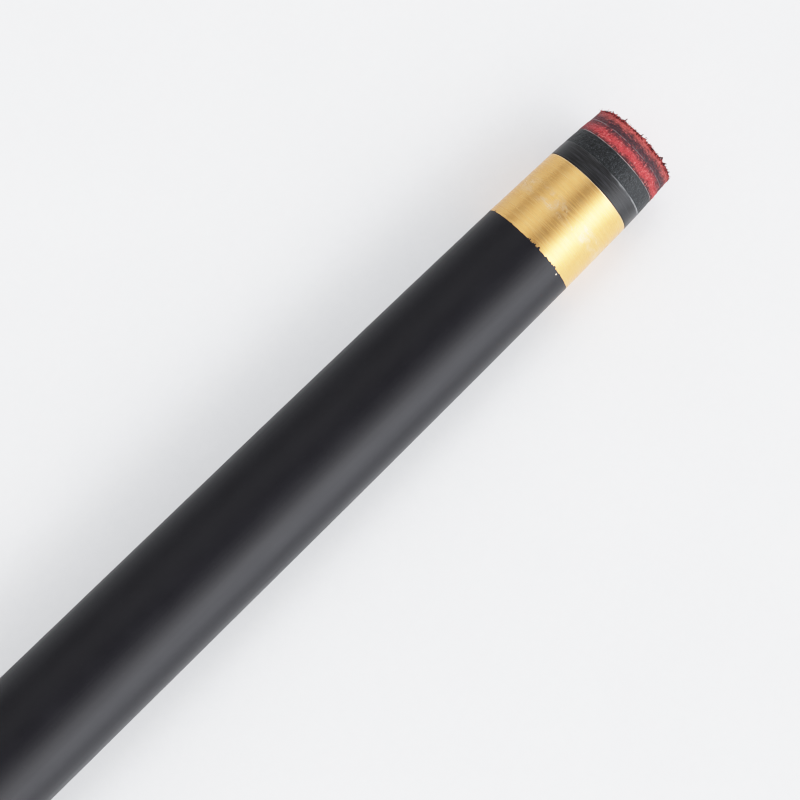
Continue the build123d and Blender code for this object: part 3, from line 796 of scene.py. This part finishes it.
def at_long(rng):
    y, off, lean, ln = next(order)
    at_long.length = ln * (1.0 if abs(y) < 2.3 else 1.5)
    p, nrm = brow(y, off - 0.2 if abs(y) < 2.3 else 0.0)
    return p, nrm + np.array([0.25, lean, 0.0]), np.zeros(3)


fibres("tip_fuzz_long", len(LONG), 9, at_long, (0.20, 0.42), (0.098, 0.122), FIBRE_DARK, stray=0.05, curl=0.35)

# ---------------------------------------------------------------- ferrule


def ferrule_shape(xs, rs, ang):
    d = 0.0035 * fbm(ring_xyz(xs, rs, ang) * np.array([3.0, 0.25, 0.25]) + 3.0, 3)
    return xs, np.where(rs > 4.6, rs + d, rs)


fprof = [(X_FERRULE, 3.2), (X_FERRULE, fr0 - 0.02)]
fprof += [(x, fr0 + (fr1 - fr0) * (x - X_FERRULE) / (X_PAD - X_FERRULE)) for x in np.linspace(X_FERRULE + 0.01, X_PAD - 0.10, 90)]
fprof += [(X_PAD - 0.05, fr1 - 0.018), (X_PAD - 0.01, fr1 - 0.055), (X_PAD, fr1 - 0.09), (X_PAD, 0.0)]
fprof = [(X_FERRULE + 6.3, 0.0), (X_FERRULE + 6.3, 3.2)] + fprof
lathe("ferrule_fine", fprof, 512, BRASS_F, "shaft", "ferrule", closed=False, shape=ferrule_shape)

# ---------------------------------------------------------------- shaft: its paint ends in a thin ragged lip over the brass
rng = np.random.RandomState(12)
LIP = 0.010
# chips: angle from +Z towards -Y in degrees, width mm, reach mm (minus is a bite out of the paint)
CHIPS = [(-7.0, 0.10, 0.13), (-5.2, 0.12, 0.18), (-2.8, 0.07, 0.04), (0.1, 0.10, 0.14), (2.0, 0.15, 0.18), (4.6, 0.06, 0.05), (7.2, 0.24, 0.21),
         (14.0, 0.5, 0.03), (20.5, 0.30, 0.09), (23.2, 0.16, 0.05), (27.0, 0.30, 0.07), (31.0, 0.12, 0.10), (34.6, 0.30, 0.16), (38.5, 0.14, 0.05),
         (-18.0, 0.35, -0.03), (-32.0, 0.3, 0.03), (47.0, 0.2, 0.05)]
for k in range(26):
    CHIPS.append((rng.uniform(60, 300), rng.uniform(0.06, 0.3), rng.uniform(-0.05, 0.15)))


def paint_edge(ang):
    """How far the paint's edge stands past the ferrule's rear face at each angle, in mm."""
    # ang is from +Y towards +Z; turn it to the angle from +Z towards -Y
    a = (np.degrees(ang) - 90.0) % 360.0
    edge = 0.015 + 0.022 * fbm(np.stack([0 * ang, 9 * np.cos(ang), 9 * np.sin(ang)], 1) + 2.2, 4)
    for c, w, h in CHIPS:
        d = ((a - c + 180.0) % 360.0 - 180.0) * math.pi / 180 * fr0
        edge = edge + h * np.exp(-((d / (w / 2)) ** 4))
    return edge


def shaft_shape(xs, rs, ang):
    lip = xs >= X_FERRULE - 1e-6
    return np.where(lip & (rs > fr0 - 0.5), xs + paint_edge(ang), xs), rs


sx = [X_TUBE + 0.0, X_TUBE + 0.08] + list(np.linspace(X_TUBE + 4, TAPER_END, 60)) + list(np.linspace(TAPER_END + 2, X_FERRULE - 0.5, 44)) + [X_FERRULE - 0.2]
sprof = [(X_TUBE, 7.2), (X_TUBE, shaft_r(X_TUBE) - 0.08)] + [(x, shaft_r(x)) for x in sx[1:]]
sprof += [(X_FERRULE, fr0 + LIP + 0.004), (X_FERRULE + 0.012, fr0 + LIP * 0.4), (X_FERRULE + 0.014, fr0 - 0.03), (X_FERRULE - 0.001, 3.6), (1392.0, 3.6), (772.0, 7.2)]
lathe("shaft_tube_fine", sprof, 1440, SHAFT, "shaft", "shaft_tube", shape=shaft_shape, sharp=40)

# ---------------------------------------------------------------- joint
PITCH = 2.54


def thread_r(u, r_minor, r_major, crest=0.34, flank=0.14):
    """Radius of a flat-topped thread at phase u (0 to 1)."""
    t = np.abs((u % 1.0) - 0.5) * 2  # 1 at the root's middle, 0 at the crest's middle
    k = np.clip((t - crest) / (flank * 2), 0, 1)
    k = k * k * (3 - 2 * k)
    return r_major + (r_minor - r_major) * k


def thread_shape(r_minor, r_major, x0, x1, ease0=0.0, ease1=0.0, pitch=PITCH):
    def shape(xs, rs, ang):
        on = (np.abs(rs - 99.0) < 1e-6)
        r = thread_r((xs - pitch * ang / (2 * math.pi)) / pitch, r_minor, r_major)
        if ease0:
            r = r + (r_minor - r) * np.clip(1 - (xs - x0) / ease0, 0, 1)
        if ease1:
            r = r + (r_minor - r) * np.clip(1 - (x1 - xs) / ease1, 0, 1)
        return xs, np.where(on, r, rs)
    return shape


pin0, pin1 = lo_x("joint_pin"), hi_x("joint_pin")
# the thread's phase has to wrap round the seam, so the helix is made on rings of one turn's phase
pp = [(pin0, 0.0), (pin0, 3.4)] + [(x, 99.0) for x in np.arange(pin0 + 0.3, pin1 - 1.0, 0.127)] + [(pin1 - 0.9, 3.72), (pin1 - 0.15, 3.0), (pin1, 2.8), (pin1, 0.0)]
lathe("joint_pin_thread", pp, 128, STEEL, "butt", "joint_pin", closed=False, sharp=50, shape=thread_shape(3.86, 4.70, pin0, pin1 - 1.0, 1.0, 1.6))

ins0, ins1 = lo_x("shaft_insert"), hi_x("shaft_insert")
bore_end = ins0 + 30.0
ip = [(ins0, 5.05), (ins0, 5.85), (ins0 + 0.15, 6.0), (ins1, 6.0), (ins1, 0.0), (bore_end + 2.0, 0.0), (bore_end, 3.95)]
ip += [(x, 99.0) for x in np.arange(bore_end - 0.3, ins0 + 0.45, -0.127)] + [(ins0 + 0.30, 4.80)]
lathe("shaft_insert_thread", ip, 128, BRASS, "shaft", "shaft_insert", sharp=50, shape=thread_shape(3.93, 4.77, ins0 + 0.3, bore_end, 0.0, 0.0))


def collar(name, node, body, x0, x1, mat, inner, c0=0.0, c1=0.0, segs=192):
    r0, r1 = od(x0) / 2, od(x1) / 2
    prof = [(x0, inner), (x0, r0 - c0)]
    if c0:
        prof += [(x0 + c0 * 0.3, r0 - c0 * 0.3), (x0 + c0, od(x0 + c0) / 2)]
    if c1:
        prof += [(x1 - c1, od(x1 - c1) / 2), (x1 - c1 * 0.3, r1 - c1 * 0.3)]
    prof += [(x1, r1 - c1), (x1, inner)]
    return lathe(name, prof, segs, mat, body, node)


collar("shaft_collar_fine", "shaft_collar", "shaft", X_JOINT, X_SHAFT_RING, COLLAR, 7.2, 0.18, 0.04)
collar("shaft_ring_fine", "shaft_ring", "shaft", X_SHAFT_RING, X_TUBE, BRASS, 7.2, 0.05, 0.05)
collar("butt_collar_fine", "butt_collar", "butt", X_BUTT_COLLAR, X_JOINT, COLLAR, 7.5, 0.04, 0.18)
collar("butt_ring_fine", "butt_ring", "butt", X_BUTT_RING, X_BUTT_COLLAR, BRASS, 7.5, 0.05, 0.05)
collar("grip_ring_front_fine", "grip_ring_front", "butt", X_GRIP1, X_FOREARM, BRASS, 8.0, 0.05, 0.05)
collar("grip_ring_rear_fine", "grip_ring_rear", "butt", X_REAR_RING, X_GRIP0, BRASS, 9.0, 0.05, 0.05)
collar("cap_ring_fine", "cap_ring", "butt", X_CAP_RING, X_SLEEVE, BRASS, 9.5, 0.05, 0.05)

# forearm: front face carries the joint pin's bore
fa = [(X_FOREARM, 8.0), (X_FOREARM, od(X_FOREARM) / 2 - 0.04), (X_FOREARM + 0.05, od(X_FOREARM) / 2)]
fa += [(x, od(x) / 2) for x in np.linspace(X_FOREARM + 8, X_BUTT_RING - 0.05, 24)]
fa += [(X_BUTT_RING, od(X_BUTT_RING) / 2 - 0.04), (X_BUTT_RING, 7.5), (X_JOINT, 7.5), (X_JOINT, 4.70), (pin0, 4.70), (pin0, 0.0),
       (X_FOREARM + 63, 0.0), (X_FOREARM + 63, 3.5), (X_FOREARM + 25, 3.5), (X_FOREARM + 25, 8.0)]
lathe("forearm_fine", fa, 192, WOOD, "butt", "forearm", closed=True)

bs = [(lo_x("butt_sleeve"), 6.0), (lo_x("butt_sleeve"), 9.5), (X_SLEEVE, 9.5), (X_SLEEVE, od(X_SLEEVE) / 2 - 0.04), (X_SLEEVE + 0.05, od(X_SLEEVE) / 2)]
bs += [(x, od(x) / 2) for x in np.linspace(X_SLEEVE + 6, X_REAR_RING - 0.05, 18)]
bs += [(X_REAR_RING, od(X_REAR_RING) / 2 - 0.04), (X_REAR_RING, 9.0), (X_REAR_RING - 25, 9.0), (X_REAR_RING - 25, 3.5), (132.0, 3.5), (132.0, 0.0), (130.0, 0.0), (130.0, 6.0)]
lathe("butt_sleeve_fine", bs, 192, WOOD, "butt", "butt_sleeve", closed=True)

# wound thread: one helix of rounded turns
WIND = 0.80


def wind_shape(xs, rs, ang):
    on = rs > 99.0
    u = ((xs - WIND * ang / (2 * math.pi)) / WIND) % 1.0
    crown = np.sqrt(np.clip(1 - (2 * u - 1) ** 2, 0, 1))
    r = (29.0 - (29.0 - 11.25) * (xs - X_FOOT) / (TAPER_END - X_FOOT)) / 2 - 0.20 * (1 - crown)
    r = r + 0.010 * fbm(np.stack([xs * 1.3, 6 * np.cos(ang), 6 * np.sin(ang)], 1), 2)
    return xs, np.where(on, r, rs)


gw = [(X_GRIP0, od(X_GRIP0) / 2 - 0.9), (X_GRIP0, od(X_GRIP0) / 2 - 0.15)] + [(x, 100.0) for x in np.arange(X_GRIP0 + 0.1, X_GRIP1 - 0.05, WIND / 5)]
gw += [(X_GRIP1, od(X_GRIP1) / 2 - 0.15), (X_GRIP1, od(X_GRIP1) / 2 - 0.9)]
lathe("grip_wrap_thread", gw, 80, LINEN, "butt", "grip_wrap", sharp=0, shape=wind_shape)

# butt cap, socket, bumper
bc = [(X_CAP, 10.5), (X_CAP, od(X_CAP) / 2 - 0.3)] + [(X_CAP + 0.3 - 0.3 * math.cos(a), od(X_CAP) / 2 - 0.3 + 0.3 * math.sin(a)) for a in np.linspace(0.25, 1.57, 6)]
bc += [(x, od(x) / 2) for x in np.linspace(X_CAP + 4, X_CAP_RING - 0.05, 10)]
bc += [(X_CAP_RING, od(X_CAP_RING) / 2 - 0.04), (X_CAP_RING, 9.5), (32.0, 9.5), (32.0, 6.0), (9.0, 6.0), (9.0, 10.5)]
lathe("butt_cap_fine", bc, 192, COLLAR, "butt", "butt_cap", closed=True)

es = [(0.0, 4.9), (0.0, 5.85), (0.15, 6.0), (32.0, 6.0), (32.0, 0.0), (24.0, 0.0), (24.0, 4.0)]
es += [(x, 99.0) for x in np.arange(23.7, 1.1, -0.125)] + [(0.9, 4.25)]
lathe("extension_socket_thread", es, 96, BRASS, "butt", "extension_socket", sharp=50, shape=thread_shape(4.0, 4.55, 0.9, 24.0, 0.0, 0.0, 1.25))

bu = [(X_FOOT + 0.8, 6.6)] + [(X_FOOT + 0.8 - 0.8 * math.sin(a), 7.4 - 0.8 * math.cos(a)) for a in np.linspace(0.2, 1.57, 7)]
bu += [(X_FOOT, 8.6), (X_FOOT + 0.25, 8.9), (X_FOOT + 0.25, 9.3), (X_FOOT, 9.6), (X_FOOT, 10.3), (X_FOOT + 0.25, 10.6), (X_FOOT + 0.25, 11.0), (X_FOOT, 11.3)]
bu += [(X_FOOT + 2.0 - 2.0 * math.cos(a), 12.0 + 2.0 * math.sin(a)) for a in np.linspace(0.0, 1.57, 12)]
bu += [(X_CAP - 0.4, 14.0), (X_CAP, 13.7), (X_CAP, 10.5), (X_CAP + 5, 10.5), (X_CAP + 5, 6.6)]
lathe("bumper_fine", bu, 192, RUBBER, "butt", "bumper", closed=True)

# pieces inside the cue that keep their own shape
for node, mat in (("tenon_plug", MAPLE), ("joint_plug", MAPLE), ("handle", MAPLE), ("foam_core", FOAM), ("forearm_stud", STEEL), ("sleeve_stud", STEEL), ("weight_bolt", STEEL)):
    me = frame["nodes"][node].data
    for k in range(len(me.materials)):
        frame["nodes"][node].material_slots[k].material = mat

# ---------------------------------------------------------------- floor: touches the cue along its straight taper
def floor_z(x_mm):
    return -od(x_mm) / 2


FL = 90000.0
fv = [(x, y, floor_z(x) - 0.004) for x, y in ((-FL, -FL), (FL, -FL), (FL, FL), (-FL, FL))]
# the small tilt is kept under the cue only, and the floor is level beyond it
xs_f = [-FL, -400.0, 2200.0, FL]
fv, ff = [], []
for x in xs_f:
    xx = min(max(x, -400.0), 2200.0)
    for y in (-FL, FL):
        fv.append((x, y, floor_z(xx) - 0.004))
for k in range(3):
    ff.append((2 * k, 2 * k + 2, 2 * k + 3, 2 * k + 1))
fm = bpy.data.meshes.new("floor")
fm.from_pydata([tuple(c * MM for c in v) for v in fv], [], ff)
floor = bpy.data.objects.new("floor", fm)
bpy.context.scene.collection.objects.link(floor)
fmat = Mat("floor_white")
fmat.set(Specular_IOR_Level=0.25, Roughness=0.6)
fn = fmat.noise((0.045, 0.045, 0.045), 4, 0.6)
ff2 = fmat.noise((1.2, 1.2, 1.2), 4, 0.65, offset=(3, 1, 2))
white = fmat.ramp(fmat.math("ADD", fmat.math("MULTIPLY", fn, 0.6), fmat.math("MULTIPLY", ff2, 0.4)),
                  [(0.3, (0.820, 0.838, 0.862)), (0.7, (0.880, 0.895, 0.915))])
# painted shade in reflections: mirrored in the pieces, the sheet's colour is darkened on the +Y side, standing in for
# the dark room beyond it
lpf = fmat.n("ShaderNodeLightPath")
mirror_shade = fmat.math("MULTIPLY", lpf.outputs["Is Glossy Ray"], fmat.maprange(fmat.xmm("Y"), 3.0, 14.0, 0.0, 0.45))
fmat.to("Base Color", fmat.mix(mirror_shade, white, (0.0, 0.0, 0.0)))
fmat.to("Normal", fmat.bump(ff2, 0.18, 0.08))
fm.materials.append(fmat.m)

# ---------------------------------------------------------------- light: long soft boxes on both sides of the cue, as bands of the sky round the X axis
world = bpy.data.worlds.new("studio")
bpy.context.scene.world = world
world.use_nodes = True
wt = world.node_tree
wt.nodes.clear()
wo = wt.nodes.new("ShaderNodeOutputWorld")
bg = wt.nodes.new("ShaderNodeBackground")
wt.links.new(bg.outputs[0], wo.inputs[0])
tc = wt.nodes.new("ShaderNodeTexCoord")
sep = wt.nodes.new("ShaderNodeSeparateXYZ")
wt.links.new(tc.outputs["Generated"], sep.inputs[0])
neg = wt.nodes.new("ShaderNodeMath")
neg.operation = "MULTIPLY"
neg.inputs[1].default_value = -1.0
wt.links.new(sep.outputs["Y"], neg.inputs[0])
at = wt.nodes.new("ShaderNodeMath")
at.operation = "ARCTAN2"
wt.links.new(neg.outputs[0], at.inputs[0])
wt.links.new(sep.outputs["Z"], at.inputs[1])
mr = wt.nodes.new("ShaderNodeMapRange")
mr.inputs["From Min"].default_value = -math.pi / 2
mr.inputs["From Max"].default_value = math.pi / 2
wt.links.new(at.outputs[0], mr.inputs["Value"])
# angle from straight up towards -Y, in degrees: brightness. What the polished pieces mirror, and what lights the floor.
SKY_MIRROR = [(-90, 0.60), (-78, 0.60), (-68, 0.68), (-59, 1.05), (-50, 1.27), (-41, 1.52), (-33, 1.42), (-24, 1.18), (-16, 0.80), (-8, 0.42),
              (0, 0.34), (8, 0.50), (16, 0.95), (24, 1.7), (33, 3.2), (41, 6.0), (50, 7.2), (59, 5.6), (68, 4.0), (78, 2.8), (90, 2.2)]
SKY_SOFT = [(-90, 1.1), (-50, 1.35), (-38, 2.3), (-30, 3.4), (-20, 3.6), (-12, 2.0), (-5, 0.7), (0, 0.5), (6, 0.6), (20, 0.9), (30, 1.5),
            (38, 4.0), (44, 5.7), (52, 5.6), (58, 3.6), (66, 2.5), (90, 2.0)]
SKY_MAX = 8.0
SATIN = ("shaft_tube_fine", "tip_pad_fine", "tip_black_leather_fine")


def sky_ramp(sky):
    cr = wt.nodes.new("ShaderNodeValToRGB")
    wt.links.new(mr.outputs[0], cr.inputs[0])
    els = cr.color_ramp.elements
    while len(els) < len(sky):
        els.new(0.5)
    for e, (a, l) in zip(els, sky):
        e.position = (a + 90) / 180
        e.color = (l / SKY_MAX, l / SKY_MAX * 1.0, l / SKY_MAX * 1.012, 1)
    mul = wt.nodes.new("ShaderNodeVectorMath")
    mul.operation = "SCALE"
    mul.inputs["Scale"].default_value = SKY_MAX
    wt.links.new(cr.outputs["Color"], mul.inputs[0])
    return mul.outputs[0]


def world_mix(factor, a, b):
    """a where factor is 0, b where it is 1."""
    mx = wt.nodes.new("ShaderNodeMix")
    mx.data_type = "RGBA"
    wt.links.new(factor, [q for q in mx.inputs if q.name == "Factor" and q.type == "VALUE"][0])
    wt.links.new(a, [q for q in mx.inputs if q.name == "A" and q.type == "RGBA"][0])
    dst = [q for q in mx.inputs if q.name == "B" and q.type == "RGBA"][0]
    if isinstance(b, tuple):
        dst.default_value = b
    else:
        wt.links.new(b, dst)
    return [o for o in mx.outputs if o.type == "RGBA"][0]


lp = wt.nodes.new("ShaderNodeLightPath")
lean = wt.nodes.new("ShaderNodeMath")
lean.operation = "MULTIPLY_ADD"
lean.inputs[1].default_value = 0.7
lean.inputs[2].default_value = 1.03
wt.links.new(sep.outputs["X"], lean.inputs[0])
soft = wt.nodes.new("ShaderNodeVectorMath")
soft.operation = "SCALE"
wt.links.new(sky_ramp(SKY_SOFT), soft.inputs[0])
wt.links.new(lean.outputs[0], soft.inputs["Scale"])
sky = world_mix(lp.outputs["Is Glossy Ray"], soft.outputs[0], sky_ramp(SKY_MIRROR))
sky = world_mix(lp.outputs["Is Camera Ray"], sky, (1.80, 1.83, 1.87, 1))
wt.links.new(sky, bg.inputs["Color"])
bg.inputs["Strength"].default_value = 1.0

# a low window on the -Y side, seen only in the satin black pieces
sun_data = bpy.data.lights.new("low_window", "SUN")
sun_data.angle = math.radians(50)
sun_data.energy = 3.3
sun_data.color = (0.93, 0.97, 1.06)
sun = bpy.data.objects.new("low_window", sun_data)
bpy.context.scene.collection.objects.link(sun)
low = math.radians(75)
sun.rotation_mode = "QUATERNION"
sun.rotation_quaternion = Vector((0, -math.sin(low), math.cos(low))).to_track_quat("Z", "Y")
satin = bpy.data.collections.new("satin_black")
for n in SATIN:
    satin.objects.link(bpy.data.objects[n])
sun.light_linking.receiver_collection = satin

sc = bpy.context.scene
sc.view_settings.view_transform = "Standard"
sc.view_settings.look = "None"
sc.view_settings.exposure = 0.0
sc.view_settings.gamma = 1.0
sc.cycles.filter_width = 1.05
# the camera's own soft shoulder
sc.view_settings.use_curve_mapping = True
cm = sc.view_settings.curve_mapping
WHITE = 6.0
cm.white_level = (WHITE, WHITE, WHITE)
tone = cm.curves[3]
for x in (0.05, 0.12, 0.25, 0.42, 0.65, 0.95, 1.35, 1.9, 2.7, 4.0):
    tone.points.new(x / WHITE, 1 - math.exp(-1.16 * x))
for p in tone.points:
    p.handle_type = "AUTO"
cm.update()

# ---------------------------------------------------------------- camera: above the tip end, the cue running up to the right
PX = 0.0929  # mm per pixel at the axis, in an 800-pixel frame
D_PX = 1650.0
S_CENTRE, S_FERRULE, T_CENTRE = 364.5, 561.0, 18.55
S_FOOT = 310.0
tilt = math.atan2(S_CENTRE - S_FOOT, D_PX)
target = Vector((X_FERRULE + (S_CENTRE - S_FERRULE) * PX, -T_CENTRE * PX, 0.0)) * MM
dist = D_PX * PX * MM
eye = target + Vector((-math.sin(tilt), 0, math.cos(tilt))) * dist
fwd = (target - eye).normalized()
xh = (Vector((1, 0, 0)) - fwd * fwd.x).normalized()
yh = Vector((0, 1, 0))
right = xh * 0.71631 - yh * 0.69778
up = xh * 0.69778 + yh * 0.71631
cam_data = bpy.data.cameras.new("camera")
cam = bpy.data.objects.new("camera", cam_data)
sc.collection.objects.link(cam)
cam_data.sensor_width = 36.0
cam_data.lens = 36.0 * D_PX / 800.0
cam_data.clip_start = 0.005
cam_data.clip_end = 200.0
rot = Matrix((right, up, -fwd)).transposed()
cam.matrix_world = Matrix.Translation(eye) @ rot.to_4x4()
sc.camera = cam
